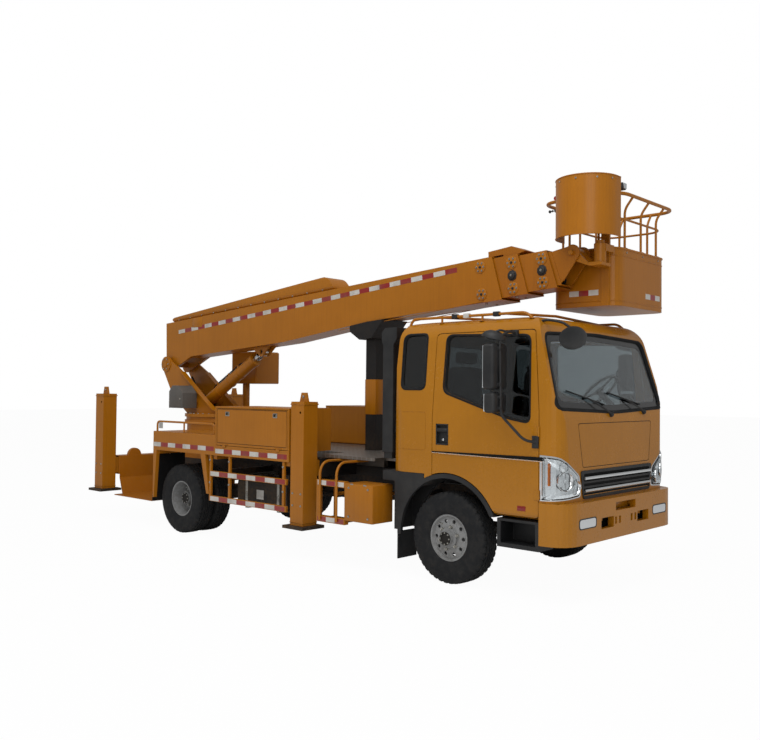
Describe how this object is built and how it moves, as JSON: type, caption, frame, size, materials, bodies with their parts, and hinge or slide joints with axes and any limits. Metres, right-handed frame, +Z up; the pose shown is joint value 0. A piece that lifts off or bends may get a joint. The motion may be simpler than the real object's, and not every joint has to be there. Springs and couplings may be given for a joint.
{
  "type": "telescopic boom lift truck",
  "caption": "Light cab-over truck with a turntable, telescopic boom, work basket and four extending legs; wheels, doors, boom, basket and legs move.",
  "frame": {"origin": "on the ground under the middle of the overall length and width", "axes": "+X forward, +Y to the truck's left, +Z up"},
  "size_m": [7, 2.52, 3.5983],
  "materials": {
    "yellow_paint": "gloss enamel",
    "black_paint": "satin",
    "cast_metal": "cast",
    "wheel_silver": "silver lacquer",
    "tyre_rubber": "matte",
    "window_glass": "clear",
    "lamp_lens": "clear lens",
    "black_plastic": "grained",
    "grey_plastic": "grained",
    "seat_fabric": "woven",
    "checker_plate": "tread plate",
    "chrome_rod": "polished",
    "yellow_laminate": "gelcoat"
  },
  "bodies": {
    "truck": {"chassis_frame": "black_paint", "subframe": "black_paint", "front_axle": "black_paint", "rear_axle": "black_paint", "engine": "cast_metal", "fuel_tank": "black_paint", "cab_shell": "yellow_paint", "cab_glass": "window_glass", "grille": "black_plastic", "headlights": "lamp_lens", "bumper": "yellow_paint", "cab_fenders": "black_plastic", "dashboard": "grey_plastic", "seats": "seat_fabric", "snorkel": "black_plastic", "deck": "checker_plate", "body_sides": "yellow_paint", "toolboxes": "yellow_paint", "side_guards": "yellow_paint", "boom_rest": "black_paint"},
    "knuckle_left": {"knuckle_left": "black_paint"},
    "front_wheel_left": {"front_rim_left": "wheel_silver", "front_tyre_left": "tyre_rubber"},
    "rear_wheel_left": {"rear_rims_left": "wheel_silver", "rear_tyres_left": "tyre_rubber"},
    "door_left": {"door_left": "yellow_paint", "door_glass_left": "window_glass", "mirror_left": "black_plastic"},
    "toolbox_door_left": {"toolbox_door_left": "yellow_paint"},
    "knuckle_right": {"knuckle_right": "black_paint"},
    "front_wheel_right": {"front_rim_right": "wheel_silver", "front_tyre_right": "tyre_rubber"},
    "rear_wheel_right": {"rear_rims_right": "wheel_silver", "rear_tyres_right": "tyre_rubber"},
    "door_right": {"door_right": "yellow_paint", "door_glass_right": "window_glass", "mirror_right": "black_plastic"},
    "toolbox_door_right": {"toolbox_door_right": "yellow_paint"},
    "steering_wheel": {"steering_wheel": "black_plastic"},
    "turntable": {"turret": "yellow_paint", "console": "yellow_paint"},
    "boom": {"boom_outer": "yellow_paint", "boom_cover": "yellow_paint"},
    "lift_barrel": {"lift_barrel": "yellow_paint"},
    "lift_rod": {"lift_rod": "chrome_rod"},
    "boom_section_2": {"boom_section_2": "yellow_paint"},
    "boom_section_3": {"boom_section_3": "yellow_paint"},
    "boom_section_4": {"boom_section_4": "yellow_paint"},
    "platform_bracket": {"platform_bracket": "yellow_paint"},
    "platform": {"basket": "yellow_laminate", "basket_rails": "yellow_paint", "basket_cover": "yellow_laminate"},
    "leg_front_left": {"leg_front_left": "yellow_paint"},
    "jack_front_left": {"jack_front_left": "black_paint"},
    "leg_front_right": {"leg_front_right": "yellow_paint"},
    "jack_front_right": {"jack_front_right": "black_paint"},
    "leg_rear_left": {"leg_rear_left": "yellow_paint"},
    "jack_rear_left": {"jack_rear_left": "black_paint"},
    "leg_rear_right": {"leg_rear_right": "yellow_paint"},
    "jack_rear_right": {"jack_rear_right": "black_paint"}
  },
  "joints": [
    {"name": "steer_left", "type": "hinge", "parent": "truck", "child": "knuckle_left", "pos_m": [2.3, 0.706, 0.4025], "axis": [0, 0, 1], "range_deg": [-35, 35]},
    {"name": "front_wheel_left_spin", "type": "hinge", "parent": "knuckle_left", "child": "front_wheel_left", "pos_m": [2.3, 0.856, 0.4025], "axis": [0, 1, 0], "continuous": true},
    {"name": "rear_wheel_left_spin", "type": "hinge", "parent": "truck", "child": "rear_wheel_left", "pos_m": [-1.6, 0.844, 0.4025], "axis": [0, 1, 0], "continuous": true},
    {"name": "door_left_hinge", "type": "hinge", "parent": "truck", "child": "door_left", "pos_m": [3.244, 0.9862, 1.4], "axis": [0, 0, -1], "range_deg": [0, 70]},
    {"name": "toolbox_door_left_hinge", "type": "hinge", "parent": "truck", "child": "toolbox_door_left", "pos_m": [-0.22, 1.1455, 1.081], "axis": [-1, 0, 0], "range_deg": [0, 90]},
    {"name": "steer_right", "type": "hinge", "parent": "truck", "child": "knuckle_right", "pos_m": [2.3, -0.706, 0.4025], "axis": [0, 0, 1], "range_deg": [-35, 35]},
    {"name": "front_wheel_right_spin", "type": "hinge", "parent": "knuckle_right", "child": "front_wheel_right", "pos_m": [2.3, -0.856, 0.4025], "axis": [0, 1, 0], "continuous": true},
    {"name": "rear_wheel_right_spin", "type": "hinge", "parent": "truck", "child": "rear_wheel_right", "pos_m": [-1.6, -0.844, 0.4025], "axis": [0, 1, 0], "continuous": true},
    {"name": "door_right_hinge", "type": "hinge", "parent": "truck", "child": "door_right", "pos_m": [3.244, -0.9862, 1.4], "axis": [0, 0, 1], "range_deg": [0, 70]},
    {"name": "toolbox_door_right_hinge", "type": "hinge", "parent": "truck", "child": "toolbox_door_right", "pos_m": [-0.22, -1.1455, 1.081], "axis": [1, 0, 0], "range_deg": [0, 90]},
    {"name": "steering_wheel_turn", "type": "hinge", "parent": "truck", "child": "steering_wheel", "pos_m": [2.9, 0.62, 1.7], "axis": [-0.7071, 0, 0.7071], "range_deg": [-560, 560]},
    {"name": "turntable_slew", "type": "hinge", "parent": "truck", "child": "turntable", "pos_m": [-2.38, 0, 1.33], "axis": [0, 0, 1], "continuous": true},
    {"name": "boom_lift", "type": "hinge", "parent": "turntable", "child": "boom", "pos_m": [-3.23, 0, 2.03], "axis": [0, -1, 0], "range_deg": [0, 75]},
    {"name": "lift_cylinder_tilt", "type": "hinge", "parent": "turntable", "child": "lift_barrel", "pos_m": [-2.55, 0, 1.53], "axis": [0, -1, 0], "range_deg": [0, 70.1]},
    {"name": "lift_cylinder_extend", "type": "slide", "parent": "lift_barrel", "child": "lift_rod", "axis": [0.8784, 0, 0.478], "range_m": [0, 1.019]},
    {"name": "boom_section_2_slide", "type": "slide", "parent": "boom", "child": "boom_section_2", "axis": [0.9976, 0, 0.0698], "range_m": [0, 3.9]},
    {"name": "boom_section_3_slide", "type": "slide", "parent": "boom_section_2", "child": "boom_section_3", "axis": [0.9976, 0, 0.0698], "range_m": [0, 3.9]},
    {"name": "boom_section_4_slide", "type": "slide", "parent": "boom_section_3", "child": "boom_section_4", "axis": [0.9976, 0, 0.0698], "range_m": [0, 3.9]},
    {"name": "platform_level", "type": "hinge", "parent": "boom_section_4", "child": "platform_bracket", "pos_m": [3.02152, 0, 2.94331], "axis": [0, -1, 0], "range_deg": [-75, 0]},
    {"name": "basket_swing", "type": "hinge", "parent": "platform_bracket", "child": "platform", "pos_m": [3.24652, 0, 2.94331], "axis": [0, 0, 1], "range_deg": [-180, 0]},
    {"name": "leg_front_left_slide", "type": "slide", "parent": "truck", "child": "leg_front_left", "axis": [0, 1, 0], "range_m": [0, 0.6]},
    {"name": "jack_front_left_slide", "type": "slide", "parent": "leg_front_left", "child": "jack_front_left", "axis": [0, 0, -1], "range_m": [0, 0.4]},
    {"name": "leg_front_right_slide", "type": "slide", "parent": "truck", "child": "leg_front_right", "axis": [0, -1, 0], "range_m": [0, 0.6]},
    {"name": "jack_front_right_slide", "type": "slide", "parent": "leg_front_right", "child": "jack_front_right", "axis": [0, 0, -1], "range_m": [0, 0.4]},
    {"name": "leg_rear_left_slide", "type": "slide", "parent": "truck", "child": "leg_rear_left", "axis": [0, 1, 0], "range_m": [0, 0.6]},
    {"name": "jack_rear_left_slide", "type": "slide", "parent": "leg_rear_left", "child": "jack_rear_left", "axis": [0, 0, -1], "range_m": [0, 0.4]},
    {"name": "leg_rear_right_slide", "type": "slide", "parent": "truck", "child": "leg_rear_right", "axis": [0, -1, 0], "range_m": [0, 0.6]},
    {"name": "jack_rear_right_slide", "type": "slide", "parent": "leg_rear_right", "child": "jack_rear_right", "axis": [0, 0, -1], "range_m": [0, 0.4]}
  ],
  "couplings": [
    {"joint": "steer_right", "follows": "steer_left", "ratio": 1},
    {"joint": "steering_wheel_turn", "follows": "steer_left", "ratio": 16},
    {"joint": "lift_cylinder_tilt", "follows": "boom_lift", "ratio": 0.928},
    {"joint": "lift_cylinder_extend", "follows": "boom_lift", "m_per_rad": 0.7747},
    {"joint": "platform_level", "follows": "boom_lift", "ratio": -1},
    {"joint": "boom_section_3_slide", "follows": "boom_section_2_slide", "ratio": 1},
    {"joint": "boom_section_4_slide", "follows": "boom_section_2_slide", "ratio": 1}
  ]
}
